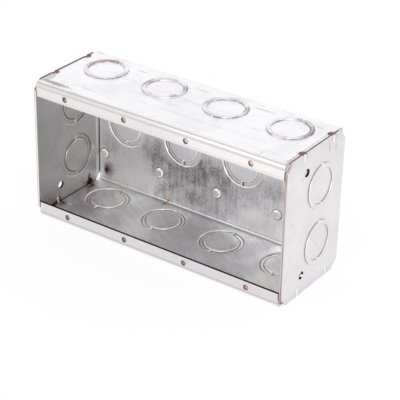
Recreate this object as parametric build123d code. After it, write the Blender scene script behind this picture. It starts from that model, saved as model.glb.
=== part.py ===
from build123d import *
import os

# Four-gang wall box in galvanised sheet steel: a folded wrapper closed by a flat plate at each end.
# Millimetres. X runs along the width, the open front faces -Y and Z is up.
# The origin is the bottom centre of the whole box, which stands on the rings of its bottom knockouts.

# Device pattern that the box is made for
gang_count = 4
gang_pitch = 46.04
screw_rise = 83.34
screw_hole = 3.5

# Room round the device pattern
end_room = 23.34
screw_inset = 5.95
lip_land = 4.05

# Sheet and folds
box_depth = 63.5
sheet = 1.6
bend_inside = 1.6
lip_end_gap = 0.5

# Concentric knockouts, whose ring is half sheared outwards and held by two ties
knockout_large = 29.0
knockout_small = 23.0
knockout_shear = 0.8
knockout_tie = 2.1
wall_knockout_from_back = 22.0
plate_knockout_from_back = 25.0
plate_knockout_spacing = 38.4

# Round pry-outs on the back, half sheared inwards and held by one tie at the top
pryout_diameter = 7.0
pryout_shear = 1.2
pryout_tie = 2.0
pryout_side_step = 18.75
pryout_from_bottom = 21.6

# End plates
plate_corner_cut = 6.0
plate_hole = 5.0
plate_hole_from_front = 21.5
plate_hole_from_edge = 13.1

# Weld joints: a rib pressed into the plate keys into a half-round notch in the wrapper's edge
weld_from_front = 18.5
weld_from_back = 13.0
notch_radius = 2.6
rib_width = 3.0
rib_length = 5.5
rib_rise = 0.9
rib_slope = 30

# Sizes that follow
wrapper_length = (gang_count - 1) * gang_pitch + 2 * end_room
wrapper_end = wrapper_length / 2
box_height = screw_rise + 2 * screw_inset
bend_outside = bend_inside + sheet
lip_height = screw_inset + lip_land
front = -(box_depth + knockout_shear) / 2
back = front + box_depth
mid_depth = (front + back) / 2
bottom = knockout_shear
top = bottom + box_height
mid_height = (bottom + top) / 2
cut_through = 4 * sheet
gang_places = [(gang - (gang_count - 1) / 2) * gang_pitch for gang in range(gang_count)]
weld_places = [front + weld_from_front, back - weld_from_back]


def knockout_ring():
    """Ring between the two knockout sizes, open at the ties on local Y."""
    ring = Circle(knockout_large / 2) - Circle(knockout_small / 2)
    return ring - Rectangle(knockout_tie, 2 * knockout_large)


def pryout_disc():
    """Round slug, open at its tie on local +Y."""
    radius = pryout_diameter / 2
    return Circle(radius) - Pos(0, radius) * Rectangle(pryout_tie, radius)


def half_shear(body, outline, depth, planes, recessed=True):
    """Push the outline out of the body's sheet along each plane's normal: a bump, and a recess behind it."""
    bumps = [extrude(plane * outline, amount=depth) for plane in planes]
    body += bumps
    if recessed:
        body -= [Pos(plane.z_dir * -sheet) * bump for plane, bump in zip(planes, bumps)]
    return body


def wrapper_section():
    """Folded sheet seen from the end: top, back and bottom, with a lip above and below the mouth."""
    outside = RectangleRounded(box_depth, box_height, bend_outside)
    inside = RectangleRounded(box_depth - 2 * sheet, box_height - 2 * sheet, bend_inside)
    mouth = Pos(-box_depth / 2, 0) * Rectangle(cut_through, box_height - 2 * lip_height)
    return Plane.YZ * Pos(mid_depth, mid_height) * (outside - inside - mouth)


def wrapper_knockout_planes():
    """One knockout for each gang in the top, then one for each gang in the bottom and in the back."""
    row = back - wall_knockout_from_back
    on_top = [Plane((x, row, top), x_dir=(1, 0, 0), z_dir=(0, 0, 1)) for x in gang_places]
    below = [Plane((x, row, bottom), x_dir=(1, 0, 0), z_dir=(0, 0, -1)) for x in gang_places]
    behind = [Plane((x, back, mid_height), x_dir=(-1, 0, 0), z_dir=(0, 1, 0)) for x in gang_places]
    return on_top, below + behind


def pryout_planes():
    """One pry-out beside each back knockout, on the inner face of the back."""
    inner_back = back - sheet
    height = bottom + pryout_from_bottom
    places = [x - pryout_side_step for x in gang_places]
    return [Plane((x, inner_back, height), x_dir=(1, 0, 0), z_dir=(0, -1, 0)) for x in places]


def body_wrapper():
    """Top, back, bottom and both lips as one folded sheet."""
    body = extrude(wrapper_section(), amount=wrapper_end, both=True)
    on_top, elsewhere = wrapper_knockout_planes()
    body = half_shear(body, knockout_ring(), knockout_shear, elsewhere)
    # The sheet stays flat behind the top's rings and the pry-outs, which keeps the model light.
    body = half_shear(body, knockout_ring(), knockout_shear, on_top, recessed=False)
    body = half_shear(body, pryout_disc(), pryout_shear, pryout_planes(), recessed=False)

    screw_drill = Rot(90, 0, 0) * Cylinder(screw_hole / 2, cut_through)
    screw_heights = [bottom + screw_inset, top - screw_inset]
    body -= [Pos(x, front, z) * screw_drill for x in gang_places for z in screw_heights]

    notch = Cylinder(notch_radius, cut_through)
    lip_trim = Box(2 * lip_end_gap, cut_through, box_height - 2 * bend_outside)
    for end in (-wrapper_end, wrapper_end):
        body -= [Pos(end, y, z) * notch for y in weld_places for z in (bottom, top)]
        body -= Pos(end, front, mid_height) * lip_trim
    return body


def pressed_rib():
    """Slope-sided rib that runs from a plate's edge along local -Y, with its crown at local Z = rib_rise."""
    foot = Pos(0, -rib_length / 2) * Rectangle(rib_width, rib_length)
    return extrude(foot, amount=rib_rise, taper=rib_slope)


def rib_planes(inner_face, inward):
    """Seats of the ribs at both weld places on the top and bottom edges of a plate."""
    planes = []
    for y in weld_places:
        planes.append(Plane((inner_face, y, top), x_dir=(0, inward, 0), z_dir=(inward, 0, 0)))
        planes.append(Plane((inner_face, y, bottom), x_dir=(0, -inward, 0), z_dir=(inward, 0, 0)))
    return planes


def end_plate(side):
    """Flat plate with cut corners, outside the wrapper's end. side is -1 for left and 1 for right."""
    inner_face = side * wrapper_end
    outer_face = inner_face + side * sheet
    outline = Rectangle(box_depth, box_height)
    outline = chamfer(outline.vertices(), plate_corner_cut)
    seat = Plane((inner_face, mid_depth, mid_height), x_dir=(0, side, 0), z_dir=(side, 0, 0))
    plate = extrude(seat * outline, amount=sheet)

    row = back - plate_knockout_from_back
    heights = [mid_height - plate_knockout_spacing / 2, mid_height + plate_knockout_spacing / 2]
    planes = [Plane((outer_face, row, z), x_dir=(0, side, 0), z_dir=(side, 0, 0)) for z in heights]
    # The right plate stays flat behind its rings too.
    plate = half_shear(plate, knockout_ring(), knockout_shear, planes, recessed=side < 0)

    hole_drill = Rot(0, 90, 0) * Cylinder(plate_hole / 2, cut_through)
    hole_heights = [bottom + plate_hole_from_edge, top - plate_hole_from_edge]
    plate -= [Pos(inner_face, front + plate_hole_from_front, z) * hole_drill for z in hole_heights]

    ribs = [plane * pressed_rib() for plane in rib_planes(inner_face, -side)]
    grooves = [Pos(side * sheet, 0, 0) * rib for rib in ribs]
    return plate + ribs - grooves


nodes = {
    "body_wrapper": body_wrapper(),
    "left_end_plate": end_plate(-1),
    "right_end_plate": end_plate(1),
}

os.makedirs("parts", exist_ok=True)
for name, solid in nodes.items():
    export_step(solid, f"parts/{name}.step")
    extent = solid.bounding_box().size
    print(f"{name}: {len(solid.solids())} solid, {solid.volume:.0f} mm3, "
          f"{extent.X:.2f} x {extent.Y:.2f} x {extent.Z:.2f} mm")
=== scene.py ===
import math
from functools import partial, reduce
from itertools import product

import bmesh
import bpy
import numpy as np
from bpy.props import FloatProperty, FloatVectorProperty, IntProperty, PointerProperty
from mathutils import Matrix, Vector, noise
from mathutils.geometry import delaunay_2d_cdt


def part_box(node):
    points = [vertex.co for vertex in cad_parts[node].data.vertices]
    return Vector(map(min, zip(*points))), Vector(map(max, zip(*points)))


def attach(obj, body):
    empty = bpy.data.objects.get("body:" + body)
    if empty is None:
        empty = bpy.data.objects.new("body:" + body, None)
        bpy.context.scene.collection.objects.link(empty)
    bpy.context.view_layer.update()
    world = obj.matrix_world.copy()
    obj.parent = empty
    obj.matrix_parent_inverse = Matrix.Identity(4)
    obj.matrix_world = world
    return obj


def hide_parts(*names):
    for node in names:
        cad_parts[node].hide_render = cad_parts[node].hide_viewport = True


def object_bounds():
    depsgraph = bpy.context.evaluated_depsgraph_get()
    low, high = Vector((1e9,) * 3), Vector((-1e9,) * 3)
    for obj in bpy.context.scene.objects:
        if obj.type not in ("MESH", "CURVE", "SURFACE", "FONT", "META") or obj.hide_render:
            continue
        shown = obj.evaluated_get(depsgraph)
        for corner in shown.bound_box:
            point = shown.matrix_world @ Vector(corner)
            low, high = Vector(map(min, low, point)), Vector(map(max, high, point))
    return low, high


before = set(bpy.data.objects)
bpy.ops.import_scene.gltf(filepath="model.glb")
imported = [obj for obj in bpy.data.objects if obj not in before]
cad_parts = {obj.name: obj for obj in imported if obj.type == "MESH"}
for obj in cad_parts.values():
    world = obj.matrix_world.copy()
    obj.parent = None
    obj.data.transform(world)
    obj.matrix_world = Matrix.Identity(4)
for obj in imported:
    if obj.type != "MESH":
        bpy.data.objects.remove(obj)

bl_info = {
    "name": "Four-Gang Wall Box",
    "version": (1, 0, 0),
    "blender": (4, 5, 0),
    "location": "View3D > Sidebar > Wall Box",
    "description": "Welded galvanised sheet-steel wall box with half-sheared knockouts",
    "category": "Add Mesh",
}

MM = 0.001
cad_low, cad_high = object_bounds()
wrapper_low, wrapper_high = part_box("body_wrapper")
# Inner face of the right end plate and the box's middle height, in millimetres
plate_face = wrapper_high.x / MM
middle_height = (wrapper_low.z + wrapper_high.z) / 2 / MM


def length(name, description, default):
    """A size in metres that a user would change."""
    return FloatProperty(name=name, description=description, default=default, min=0.0, precision=5,
                         unit="LENGTH", subtype="DISTANCE")


def colour(name, description, default):
    """A finish colour that a user would change."""
    return FloatVectorProperty(name=name, description=description, default=default, size=3, min=0.0, max=1.0,
                               subtype="COLOR")


def power(name, description, default):
    """Power of a lamp."""
    return FloatProperty(name=name, description=description, default=default, min=0.0, unit="POWER")


class SheetSizes(bpy.types.PropertyGroup):
    """Sheet, folds and device holes."""

    sheet: length("Sheet", "Thickness of the sheet", 1.6 * MM)
    bend_inside: length("Inside bend", "Radius inside each fold", 1.6 * MM)
    bend_steps: IntProperty(name="Bend steps", description="Flat steps round each fold", default=8, min=2)
    edge_round: length("Edge round", "Rounding of the sheared edges", 0.22 * MM)
    lip_height: length("Lip height", "Height of each front lip", 10.0 * MM)
    lip_end_gap: length("Lip end gap", "Gap between a lip's end and the end plate", 0.5 * MM)
    seam: length("Seam", "Open seam between the wrapper's end and the plate", 0.25 * MM)
    gang_pitch: length("Gang pitch", "Distance from device to device", 46.04 * MM)
    gang_count: IntProperty(name="Gangs", description="Number of devices", default=4, min=1)
    screw_hole: length("Device hole", "Diameter of the tapped device holes", 3.5 * MM)
    screw_inset: length("Device hole inset", "Distance from the box's edge to the device holes", 5.95 * MM)
    thread_pitch: length("Thread pitch", "Pitch of the tapped thread", 0.79 * MM)


class KnockoutSizes(bpy.types.PropertyGroup):
    """Concentric knockouts and round pry-outs."""

    large: length("Large knockout", "Outer diameter of the ring", 29.0 * MM)
    small: length("Small knockout", "Diameter of the disc inside the ring", 23.0 * MM)
    shear: length("Shear", "How far the ring is pushed out of the sheet", 0.8 * MM)
    tie: length("Tie", "Width of the two ties that hold the ring", 2.1 * MM)
    wall_from_back: length("From the back", "From the back to the knockouts in the top and bottom", 22.0 * MM)
    plate_from_back: length("Plates, from the back", "From the back to the plates' knockouts", 25.0 * MM)
    plate_spacing: length("Plate spacing", "Between the two knockouts in a plate", 38.4 * MM)
    pryout: length("Pry-out", "Diameter of a pry-out", 7.0 * MM)
    pryout_shear: length("Pry-out shear", "How far a pry-out is pushed inwards", 1.4 * MM)
    pryout_tie: length("Pry-out tie", "Width of the tie that holds a pry-out", 2.0 * MM)
    pryout_side_step: length("Pry-out side step", "From a gang's middle to its pry-out", 18.75 * MM)
    pryout_from_bottom: length("Pry-out height", "From the box's bottom to the pry-outs", 21.6 * MM)


class PlateSizes(bpy.types.PropertyGroup):
    """End plates and their weld joints."""

    corner_cut: length("Corner cut", "Length cut off each corner", 6.0 * MM)
    uneven_cut: length("Uneven cut", "Length cut off further at the left plate's lower back corner", 1.2 * MM)
    hole: length("Plate hole", "Diameter of the plain holes", 5.0 * MM)
    hole_from_front: length("Hole from the front", "From the front to the plain holes", 21.5 * MM)
    hole_from_edge: length("Hole from the edge", "From the top or bottom edge to the plain holes", 13.1 * MM)
    weld_from_front: length("Front weld", "From the front to the front weld joints", 18.5 * MM)
    weld_from_back: length("Back weld", "From the back to the back weld joints", 13.0 * MM)
    notch_radius: length("Notch radius", "Half-round notch in the wrapper's edge", 2.6 * MM)
    rib_width: length("Rib width", "Width of the rib that keys into a notch", 3.0 * MM)
    rib_length: length("Rib length", "Length of the rib", 5.5 * MM)
    rib_rise: length("Rib rise", "How far the rib is pressed inwards", 0.9 * MM)


class FinishColours(bpy.types.PropertyGroup):
    """Colours of the galvanised finish and its marks."""

    zinc: colour("Zinc", "Clean zinc", (0.864, 0.848, 0.859))
    bloom: colour("Zinc bloom", "Dull grey bloom on the zinc", (0.755, 0.733, 0.745))
    # Also painted light at the right end of the back, high on the left plate and beside the back seam.
    inner_zinc_and_light: colour("Inner zinc", "Clean zinc inside the box", (0.938, 0.942, 0.948))
    # Also painted shade over the reflection on the inner bends.
    patina_and_shade: colour("Patina", "Dull grey patches inside the box", (0.775, 0.770, 0.775))
    # Painted shade: a dull grey laid over the inner faces of the end plates.
    plate_shade: colour("Inner plate", "Dull grey inside the end plates", (0.500, 0.486, 0.482))
    # Painted shade: the grey of the painted reflection on the front bend.
    bend_shade: colour("Bend", "Warm zinc stretched over the bends", (0.70, 0.675, 0.67))
    # Painted shade: lilac-grey laid on the lower lip and along the plates' bottom and top.
    lilac_shade: colour("Lavender", "Lilac-grey zinc on the lower lip and plate ends", (0.70, 0.675, 0.705))
    disc_lilac: colour("Knockout disc", "Lilac-grey zinc on the knockouts in the back", (0.90, 0.895, 0.925))
    # Also painted shade on the floor, in the inner bend corners and low on the left plate.
    soot_and_shade: colour("Soot", "Dark film and grime inside the box", (0.25, 0.225, 0.24))
    # Also painted highlight on the upper lip, the front bend, the ribs, the rims and pry-outs, the right end
    # inside and a plate hole.
    burnished_and_highlight: colour("Burnished", "Bright rubbed metal on rims, ribs and edges", (0.95, 0.93, 0.92))
    cut_edge: colour("Cut edge", "Clean steel on the cut edges", (0.86, 0.82, 0.81))
    # Also painted highlight as the pale band in the threads.
    browned_and_highlight: colour("Browned edge", "Pale brown on the cut edges and lip lines", (0.46, 0.38, 0.37))
    # Also painted shade at the foot of the knockouts' walls, beside their ties and on the top's rings.
    edge_brown_and_shade: colour("Brown edge", "Brown steel at edges, seams and welds", (0.23, 0.105, 0.095))
    edge_rust: colour("Edge rust", "Dark rust on edges, seams and burnt spots", (0.046, 0.011, 0.009))
    sheared: colour("Sheared wall", "Torn steel on the half-sheared walls", (0.27, 0.215, 0.215))
    # Also painted shade on the raised rings of the top.
    scuff_and_shade: colour("Scuff", "Purple-grey rub marks", (0.28, 0.205, 0.235))
    scale: colour("Weld scale", "Burnt scale round the welds", (0.024, 0.011, 0.010))
    weld: colour("Weld metal", "Bare weld metal on the beads", (0.92, 0.80, 0.72))
    straw: colour("Heat tint", "Straw tint round the welds", (0.50, 0.33, 0.23))
    rust: colour("Rust", "Rust specks", (0.62, 0.29, 0.06))


class StageSettings(bpy.types.PropertyGroup):
    """Camera and light."""

    eye: FloatVectorProperty(name="Eye", description="Where the camera stands", unit="LENGTH", subtype="XYZ",
                             default=(0.474826, -0.664505, 0.480328))
    aim: FloatVectorProperty(name="Aim", description="What the camera looks at", unit="LENGTH", subtype="XYZ",
                             default=(0.0243, -0.017644, 0.044828))
    roll: FloatProperty(name="Roll", description="Tilt of the camera", default=math.radians(1.34),
                        unit="ROTATION", subtype="ANGLE")
    lens: FloatProperty(name="Lens", description="Focal length for a 36 mm sensor", default=133.68)
    key_power: power("Key", "Softbox behind", 0.95)
    front_power: power("Front", "Softbox in front", 6.0)
    left_power: power("Left", "Low softbox at the left", 1.1)
    spot_power: power("Spot", "Spot into the right end of the box", 13.0)
    fill: FloatProperty(name="Fill", description="Strength of the light from all round", default=1.0)


# Flat sheets

def gang_places(sizes):
    """Middle of each gang along the box."""
    middle = (sizes.gang_count - 1) / 2
    return [(gang - middle) * sizes.gang_pitch for gang in range(sizes.gang_count)]


def weld_places(plates):
    """Depths of the front and the back weld joints."""
    sheet_back = wrapper_high.y - bpy.context.scene.knockout_sizes.shear
    return [wrapper_low.y + plates.weld_from_front, sheet_back - plates.weld_from_back]


# Points of a blank that are closer than this are merged.
merge_distance = 1e-7
# Slivers are dropped when twice their area, in square metres, is under this.
sliver_area = 1e-14
# A triangle lies in a hole when its middle is within this share of the hole's radius.
hole_share = 0.97


class Blank:
    """A flat sheet before folding: its outline, its holes and what is pressed into it."""

    def __init__(self, outline):
        self.points = []
        self.edges = []
        self.holes = []
        self.pressings = []
        self.outline = np.array(outline)
        self.line(outline, closed=True)

    def line(self, points, closed=False):
        """Adds points that the mesh's edges follow."""
        first = len(self.points)
        count = len(points)
        self.points += [tuple(point) for point in points]
        spans = count if closed else count - 1
        self.edges += [(first + i, first + (i + 1) % count) for i in range(spans)]

    def hole(self, centre, radius, steps=40):
        """Cuts a round hole."""
        self.holes.append((centre, radius))
        turns = np.linspace(0, 2 * math.pi, steps, endpoint=False)
        cut = [(centre[0] + radius * math.cos(a), centre[1] + radius * math.sin(a)) for a in turns]
        self.line(cut, closed=True)

    def press(self, pressing):
        """Adds a pressing, with the mesh lines that its shape needs."""
        self.pressings.append(pressing)
        for points, closed in pressing.lines():
            self.line(points, closed)

    def fill(self):
        """Triangles of the sheet, as points in the flat and corner numbers that run anticlockwise."""
        made = delaunay_2d_cdt([Vector(p) for p in self.points], self.edges, [], 0, merge_distance)
        flat = np.array([tuple(v) for v in made[0]])
        corners = np.array(made[2])
        middle = flat[corners].mean(axis=1)
        keep = inside_outline(middle, self.outline)
        for centre, radius in self.holes:
            keep &= np.hypot(*(middle - centre).T) > hole_share * radius
        corners = corners[keep]
        one, two, three = (flat[corners[:, i]] for i in range(3))
        turn = np.cross(two - one, three - one)
        filled = np.abs(turn) > sliver_area
        corners = corners[filled]
        turn = turn[filled]
        corners[turn < 0] = corners[turn < 0][:, ::-1]
        return flat, corners


def inside_outline(points, outline):
    """True for each point within the outline."""
    x, y = points.T
    within = np.zeros(len(points), bool)
    for (x0, y0), (x1, y1) in zip(outline, np.roll(outline, -1, axis=0)):
        if y0 != y1:
            within ^= ((y0 > y) != (y1 > y)) & (x < x0 + (y - y0) * (x1 - x0) / (y1 - y0))
    return within


def rim_loops(corners):
    """Closed runs of corner numbers round the filled area and round each hole in it."""
    directed = {(a, b) for tri in corners.tolist() for a, b in zip(tri, tri[1:] + tri[:1])}
    following = {a: b for a, b in directed if (b, a) not in directed}
    loops = []
    while following:
        start, here = following.popitem()
        loop = [start]
        while here != start:
            loop.append(here)
            here = following.pop(here)
        loops.append(loop)
    return loops


# Half-sheared walls, as steps across the sheared circle in shares of the shear.
# Distance is into the pushed part. Its leading edge is rounded on one face, and the rim on the other.
wall_steps = np.array([-1.00, -0.70, -0.42, -0.18, -0.04, 0.04, 0.15, 0.30, 0.50]) * MM
wall_lead = np.array([0.0, 0.0, 0.0, 0.0, 0.0, 0.58, 0.80, 0.945, 1.0])
wall_trail = np.array([0.0, 0.07, 0.22, 0.45, 0.68, 1.0, 1.0, 1.0, 1.0])
slug_steps = np.array([-1.30, -0.90, -0.50, -0.22, -0.06, 0.06, 0.40, 0.90, 1.40]) * MM
slug_lead = np.array([0.0, 0.0, 0.0, 0.0, 0.0, 0.22, 0.52, 0.86, 1.0])
# The ends of a sheared part ease down to its tie over these distances.
tie_steps = np.array([-0.45, -0.30, -0.14, 0.0, 0.16]) * MM
tie_ease = np.array([0.0, 0.2, 0.62, 0.93, 1.0])
# A tie of a ring is stretched into a low crown on the inner face, with mesh lines at these distances.
tie_crown = np.array([-0.36, -0.18, 0.0, 0.18, 0.36]) * MM
crown_rise = 0.12 * MM
# Mesh points between a ring's ties, round a pry-out, along a bend and round a weld notch.
ring_points = 41
slug_points = 36
bend_points = 33
notch_points = 17


def circles(centre, radii, turns):
    """Closed mesh lines round a centre, with points in the same directions on each."""
    ways = np.stack([np.cos(turns), np.sin(turns)], axis=1)
    return [(centre + radius * ways, True) for radius in radii]


class Knockout:
    """A ring pushed out of the sheet between two circles, held by ties along the flat's second axis."""

    def __init__(self, sizes, centre, turn, lean):
        self.centre = np.array(centre)
        self.outer = sizes.large / 2
        self.inner = sizes.small / 2
        self.middle = (self.outer + self.inner) / 2
        self.shear = sizes.shear
        self.tie = sizes.tie
        self.turn = turn
        self.lean = lean

    def angles(self):
        """Directions of the mesh lines, closer together at the ties."""
        near = self.tie / 2 + tie_steps
        offsets = np.concatenate([-near[::-1], tie_crown, near]) / self.middle
        clear = offsets.max() + 0.03
        evenly = np.linspace(clear, math.pi - clear, ring_points)
        half = np.concatenate([offsets, evenly]) + math.pi / 2
        return np.concatenate([half, half + math.pi]) + self.turn

    def lines(self):
        radii = np.concatenate([self.outer - wall_steps, self.inner + wall_steps])
        return circles(self.centre, radii, self.angles())

    def shift(self, flat):
        """How far both faces move outwards at each point of the flat."""
        across, along = (flat - self.centre).T
        radius = np.hypot(across, along)
        angle = np.arctan2(along, across) - self.turn
        from_tie = np.abs((angle + math.pi) % math.pi - math.pi / 2) * self.middle - self.tie / 2
        into = np.minimum(self.outer - radius, radius - self.inner)
        side = np.where(np.cos(angle) > 0, self.lean[1], self.lean[0])
        half = (self.outer - self.inner) / 2
        height = self.shear + (side * (radius - self.middle) - np.abs(side) * half) * np.abs(np.cos(angle))
        height = height * np.interp(from_tie, tie_steps, tie_ease)
        lead = np.interp(into, wall_steps, wall_lead) * height
        trail = np.interp(into, wall_steps, wall_trail) * height
        across_tie = np.clip(1 + from_tie / (self.tie / 2), 0, 1)
        on_band = np.interp(into, wall_steps[[0, -1]], (0, 1))
        crown = crown_rise * np.cos(across_tie * math.pi / 2) ** 2 * on_band
        return lead, trail - crown


class Pryout:
    """A round slug tipped into the box about its tie, which lies along the flat's second axis."""

    def __init__(self, sizes, centre):
        self.centre = np.array(centre)
        self.radius = sizes.pryout / 2
        self.shear = sizes.pryout_shear
        self.tie = sizes.pryout_tie

    def angles(self):
        """Directions of the mesh lines, closer together at the tie."""
        near = (self.tie / 2 + tie_steps) / self.radius
        offsets = np.concatenate([-near[::-1], near])
        evenly = np.linspace(offsets.max() + 0.08, 2 * math.pi + offsets.min() - 0.08, slug_points)
        return np.concatenate([offsets, evenly]) + math.pi / 2

    def lines(self):
        radii = list(self.radius - slug_steps) + [share * self.radius for share in (0.52, 0.46, 0.40)]
        return circles(self.centre, radii, self.angles())

    def shift(self, flat):
        """How far both faces move outwards at each point of the flat."""
        across, along = (flat - self.centre).T
        radius = np.hypot(across, along)
        angle = np.arctan2(across, along)
        sheared = np.interp(np.abs(angle) * self.radius - self.tie / 2, tie_steps, tie_ease)
        ramp = np.clip((1.15 - radius / self.radius) / 0.70, 0, 1)
        tied = (1 - sheared) * ramp * ramp * (3 - 2 * ramp)
        into = (self.radius - radius) / (0.85 + 0.45 * np.sin(angle))
        push = self.shear * (0.70 - 0.30 * np.clip(along / self.radius, -1, 1))
        lead = (np.interp(into, slug_steps, slug_lead) * sheared + tied) * push
        trail = (np.interp(into, slug_steps, wall_trail) * sheared + tied) * push
        return -trail, -lead


class Rib:
    """A short round-backed rib pressed inwards from a plate's edge."""

    def __init__(self, plates, edge_place, inward, edge_round):
        self.place = np.array(edge_place)
        self.inward = inward
        self.half = plates.rib_width / 2
        self.run = plates.rib_length
        self.rise = plates.rib_rise
        self.edge_round = edge_round

    def lines(self):
        sides = np.linspace(-1.25, 1.25, 15) * self.half
        downs = np.linspace(self.edge_round, self.run + 0.25 * self.half, 16)
        return [([self.place + (side, self.inward * down) for down in downs], False) for side in sides]

    def shift(self, flat):
        """How far both faces move outwards at each point of the flat."""
        side, down = (flat - self.place).T
        down = down * self.inward
        past = np.maximum(down - (self.run - self.half), 0)
        away = np.hypot(side, past) / self.half
        height = self.rise * 0.5 * (1 + np.cos(math.pi * np.clip(away, 0, 1)))
        height = np.where(down < -self.half, 0, height)
        return -height, -height


# Finishes of a sheet, in the order of their slots: outer face, inner face, cut edges and half-sheared walls
sheet_finishes = ["zinc_outside", "zinc_inside", "cut_edge", "sheared_wall"]
cut_slot = 2
sheared_slot = 3
# A face is a sheared wall when it is steeper than this, as the cosine of its slope.
steepness = 0.35
# Edges that turn by more than this stay sharp.
sharp_angle = math.radians(38)
# An edge is rounded in steps of these angles.
edge_turns = np.radians([30, 60, 90])


def sheet_mesh(name, blank, sheet, edge_round, place):
    """Closed mesh of a blank with rounded sheared edges, put in space by place(flat, depth)."""
    flat, corners = blank.fill()
    outer = np.zeros(len(flat))
    inner = np.full(len(flat), -sheet)
    for pressing in blank.pressings:
        lead, trail = pressing.shift(flat)
        outer += lead
        inner += trail
    points = [place(flat, outer), place(flat, inner)]
    faces = corners.tolist() + (corners[:, ::-1] + len(flat)).tolist()
    slots = []
    for face, height in enumerate((outer, inner)):
        one, two, three = (np.column_stack([flat, height])[corners[:, i]] for i in range(3))
        upright = np.cross(two - one, three - one)
        steep = np.abs(upright[:, 2]) < steepness * np.linalg.norm(upright, axis=1)
        slots += np.where(steep, sheared_slot, face).tolist()
    count = 2 * len(flat)
    rounds = [(math.sin(turn), 1 - math.cos(turn)) for turn in edge_turns]
    for loop in rim_loops(corners):
        rim = flat[loop]
        ahead = np.roll(rim, -1, axis=0) - rim
        normal = np.stack([ahead[:, 1], -ahead[:, 0]], axis=1)
        normal /= np.linalg.norm(normal, axis=1)[:, None]
        mitre = normal + np.roll(normal, 1, axis=0)
        mitre /= np.maximum((mitre * mitre).sum(axis=1), 0.5)[:, None] / 2
        rows = [np.array(loop)]
        for height, way, steps in ((outer, -1, rounds), (inner, 1, rounds[::-1])):
            for out, drop in steps:
                points.append(place(rim + mitre * out * edge_round, height[loop] + way * drop * edge_round))
                rows.append(np.arange(count, count + len(loop)))
                count += len(loop)
        rows.append(np.array(loop) + len(flat))
        for upper, lower in zip(rows, rows[1:]):
            quads = np.stack([np.roll(upper, -1), upper, lower, np.roll(lower, -1)], axis=1)
            faces += quads.tolist()
            slots += [cut_slot] * len(quads)
    mesh = bpy.data.meshes.new(name)
    mesh.from_pydata(np.concatenate(points).tolist(), [], faces)
    mesh.polygons.foreach_set("material_index", slots)
    tidy_mesh(mesh)
    return mesh


def tidy_mesh(mesh):
    """Drops unused points, turns all faces outwards and shades them smooth up to sharp edges."""
    work = bmesh.new()
    work.from_mesh(mesh)
    bmesh.ops.delete(work, geom=[v for v in work.verts if not v.link_faces], context="VERTS")
    bmesh.ops.recalc_face_normals(work, faces=work.faces)
    work.to_mesh(mesh)
    work.free()
    mesh.shade_smooth()
    mesh.set_sharp_from_angle(angle=sharp_angle)


def show(context, mesh, finishes, replaced=()):
    """Puts a mesh in the scene as a piece of the box."""
    piece = bpy.data.objects.new(mesh.name, mesh)
    context.scene.collection.objects.link(piece)
    for name in finishes:
        mesh.materials.append(finish(context, name))
    flatten = piece.modifiers.new("Even shading", "WEIGHTED_NORMAL")
    flatten.keep_sharp = True
    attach(piece, "root")
    if replaced:
        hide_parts(*replaced)


# The folded wrapper

class Fold:
    """Way from the flat blank to the folded wrapper: lip, bottom, back, top and lip, with bends between."""

    def __init__(self, sheets, knockouts):
        self.radius = sheets.bend_inside + sheets.sheet
        self.arc = (sheets.bend_inside + sheets.sheet / 2) * math.pi / 2
        self.front = wrapper_low.y
        self.back = wrapper_high.y - knockouts.shear
        self.bottom = wrapper_low.z + knockouts.shear
        self.top = wrapper_high.z - knockouts.shear
        self.lip = sheets.lip_height - self.radius
        deep = self.back - self.front - 2 * self.radius
        tall = self.top - self.bottom - 2 * self.radius
        self.spans = [self.lip, deep, tall, deep, self.lip]
        self.starts = [sum(self.spans[:i]) + i * self.arc for i in range(5)]
        self.total = self.starts[-1] + self.lip

    def on_bottom(self, y):
        return self.starts[1] + y - self.front - self.radius

    def on_back(self, z):
        return self.starts[2] + z - self.bottom - self.radius

    def on_top(self, y):
        return self.starts[3] + self.back - self.radius - y

    def bend_lines(self, steps):
        """Places along the blank where it bends, each as the steps round one fold."""
        ends = [start + span for start, span in zip(self.starts[:4], self.spans)]
        return [np.linspace(end, end + self.arc, steps + 1) for end in ends]

    def place(self, flat, depth):
        """Points in space of points in the flat that lie at a depth outside the outer face."""
        u, v = flat.T
        y = np.zeros_like(v)
        z = np.zeros_like(v)
        here = np.array([self.front, self.bottom + self.radius + self.lip])
        way = np.array([0.0, -1.0])
        out = np.array([-1.0, 0.0])
        for i, (start, span) in enumerate(zip(self.starts, self.spans)):
            upper = start + span if i < 4 else np.inf
            lower = start if i else -np.inf
            run = (v >= lower) & (v <= upper)
            y[run] = here[0] + way[0] * (v[run] - start) + out[0] * depth[run]
            z[run] = here[1] + way[1] * (v[run] - start) + out[1] * depth[run]
            here = here + way * span
            turn = (v > upper) & (v < upper + self.arc)
            angle = (v[turn] - upper) / self.arc * math.pi / 2
            reach = self.radius + depth[turn]
            centre = here - out * self.radius
            y[turn] = centre[0] + reach * (out[0] * np.cos(angle) + way[0] * np.sin(angle))
            z[turn] = centre[1] + reach * (out[1] * np.cos(angle) + way[1] * np.sin(angle))
            here = centre + way * self.radius
            way, out = -out, way
        return np.stack([u, y, z], axis=1)


def wrapper_outline(sheets, plates, fold):
    """Outline of the flat wrapper, held back by the rounding of its edges."""
    held = sheets.edge_round
    end = wrapper_high.x
    edge = end - held - sheets.seam
    lip_edge = edge + sheets.seam - sheets.lip_end_gap
    reach = plates.notch_radius + held
    sweep = math.acos((held + sheets.seam) / reach)
    right = [(lip_edge, held), (lip_edge, fold.lip), (edge, fold.lip)]
    depths = weld_places(plates)
    for centre in [fold.on_bottom(y) for y in depths] + [fold.on_top(y) for y in depths[::-1]]:
        turns = np.linspace(-sweep, sweep, notch_points)
        right += [(end - reach * math.cos(a), centre + reach * math.sin(a)) for a in turns]
    right += [(edge, fold.total - fold.lip), (lip_edge, fold.total - fold.lip), (lip_edge, fold.total - held)]
    return right + [(-u, v) for u, v in right[::-1]]


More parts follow.
